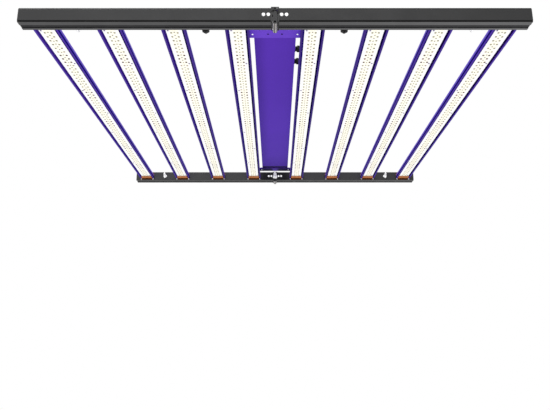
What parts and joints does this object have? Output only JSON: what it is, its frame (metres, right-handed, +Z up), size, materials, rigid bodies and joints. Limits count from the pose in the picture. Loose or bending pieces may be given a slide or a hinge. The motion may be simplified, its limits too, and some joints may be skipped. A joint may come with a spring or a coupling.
{
  "type": "led grow light",
  "caption": "Folding bar-type LED grow light: light bars between two hinged rails, with a long driver box on cross brackets over the fold.",
  "frame": {"origin": "under the middle of the light, level with the lowest point of the hinge barrels", "axes": "+X along the rails to the right, +Y along the light bars from the front rail to the rear rail, +Z up; the LEDs face down"},
  "size_m": [1.1, 1.16, 0.1004],
  "materials": {
    "rail_coating": "satin dark grey powder coat on aluminium",
    "hinge_casting": "dark grey coated die casting",
    "steel": "bright zinc plated",
    "purple_anodised": "satin purple anodised aluminium",
    "led_board_white": "white solder mask on an aluminium board",
    "bracket_copper": "orange-brown anodised plate",
    "black_plastic": "moulded black plastic",
    "circuit_board": "green circuit board",
    "coil_tape": "taped copper windings",
    "capacitor_sleeve": "printed sleeve, plain",
    "bare_aluminium": "mill finish",
    "wire": "black insulation"
  },
  "bodies": {
    "left_half": {"front_left_rail": "rail_coating", "rear_left_rail": "rail_coating", "left_end_caps": "hinge_casting", "front_left_hinge": "hinge_casting", "rear_left_hinge": "hinge_casting", "left_hinge_screws": "steel", "front_hinge_pin": "steel", "rear_hinge_pin": "steel", "bar_1": "purple_anodised", "bar_2": "purple_anodised", "bar_3": "purple_anodised", "bar_4": "purple_anodised", "led_board_1": "led_board_white", "led_board_2": "led_board_white", "led_board_3": "led_board_white", "led_board_4": "led_board_white", "left_bar_brackets": "bracket_copper", "left_bar_screws": "steel", "left_hanging_eyes": "steel", "left_inlet": "black_plastic", "left_wiring": "wire", "left_slot_nuts": "steel"},
    "right_half": {"front_right_rail": "rail_coating", "rear_right_rail": "rail_coating", "right_end_caps": "hinge_casting", "front_right_hinge": "hinge_casting", "rear_right_hinge": "hinge_casting", "right_hinge_screws": "steel", "bar_5": "purple_anodised", "bar_6": "purple_anodised", "bar_7": "purple_anodised", "bar_8": "purple_anodised", "led_board_5": "led_board_white", "led_board_6": "led_board_white", "led_board_7": "led_board_white", "led_board_8": "led_board_white", "right_bar_brackets": "bracket_copper", "right_bar_screws": "steel", "right_hanging_eyes": "steel", "right_inlet": "black_plastic", "right_wiring": "wire", "right_slot_nuts": "steel"},
    "driver": {"front_cross_bracket": "purple_anodised", "rear_cross_bracket": "purple_anodised", "cross_bracket_screws": "steel", "driver_base": "purple_anodised", "driver_cover": "purple_anodised", "driver_front_panel": "purple_anodised", "driver_rear_panel": "purple_anodised", "driver_panel_screws": "steel", "driver_circuit_board": "circuit_board", "driver_coils": "coil_tape", "driver_capacitors": "capacitor_sleeve", "driver_heat_spreader": "bare_aluminium", "mains_inlet": "black_plastic", "signal_port": "black_plastic", "output_sockets": "black_plastic"},
    "front_lock": {"front_lock_lever": "steel"},
    "rear_lock": {"rear_lock_lever": "steel"},
    "dimmer": {"dimmer_knob": "black_plastic"}
  },
  "joints": [
    {"name": "fold", "type": "hinge", "parent": "left_half", "child": "right_half", "pos_m": [0, 0, 0.0055], "axis": [0, 1, 0], "range_deg": [0, 180]},
    {"name": "driver_lift", "type": "slide", "parent": "left_half", "child": "driver", "axis": [0, 0, 1], "range_m": [0, 0.12]},
    {"name": "dimmer_turn", "type": "hinge", "parent": "driver", "child": "dimmer", "pos_m": [0, -0.48, 0.0784], "axis": [0, -1, 0], "range_deg": [-135, 135]},
    {"name": "front_lock_turn", "type": "hinge", "parent": "right_half", "child": "front_lock", "pos_m": [0, -0.544, 0.0376], "axis": [0, -1, 0], "range_deg": [0, 90]},
    {"name": "rear_lock_turn", "type": "hinge", "parent": "right_half", "child": "rear_lock", "pos_m": [0, 0.544, 0.0376], "axis": [0, -1, 0], "range_deg": [0, 90]}
  ]
}
